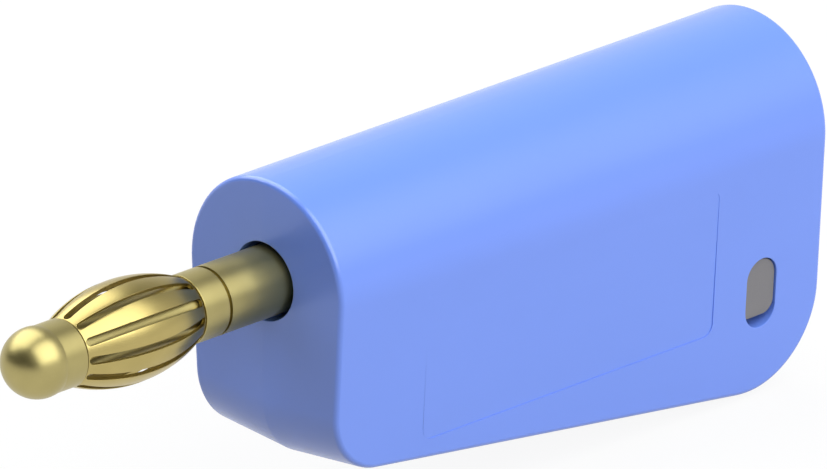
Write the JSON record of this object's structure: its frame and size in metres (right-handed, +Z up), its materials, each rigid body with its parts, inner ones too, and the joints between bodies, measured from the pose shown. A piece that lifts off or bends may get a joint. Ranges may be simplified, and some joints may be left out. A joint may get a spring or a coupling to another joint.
{
  "type": "banana plug",
  "caption": "Stackable banana plug: slotted spring cage on a round-nosed pin, in a moulded insulator with a sloping underside, a rear socket and a cable entry.",
  "frame": {"origin": "on the pin axis at the insulator's front face", "axes": "+X is the plugging direction towards the tip, +Y is the side with the bare label field, +Z is up, towards the half-round top"},
  "size_m": [0.057, 0.0118, 0.0205],
  "materials": {
    "insulator_plastic": "satin moulded blue",
    "gold_contact": "turned, gold plated",
    "screw_steel": "plain zinc",
    "insert_plastic": "matt moulded grey"
  },
  "bodies": {
    "plug": {"insulator": "insulator_plastic", "contact_body": "gold_contact", "collar_ring": "gold_contact", "nose_pin": "gold_contact", "rear_insert": "insert_plastic"},
    "cage": {"lantern_cage": "gold_contact"},
    "screw": {"clamp_screw": "screw_steel"}
  },
  "joints": [
    {"name": "cage_spin", "type": "hinge", "parent": "plug", "child": "cage", "pos_m": [0.0107, 0, 0], "axis": [1, 0, 0], "continuous": true},
    {"name": "clamp_screw_turn", "type": "hinge", "parent": "plug", "child": "screw", "pos_m": [-0.01375, 0, 0], "axis": [1, 0, 0], "range_deg": [0, 1080]}
  ]
}
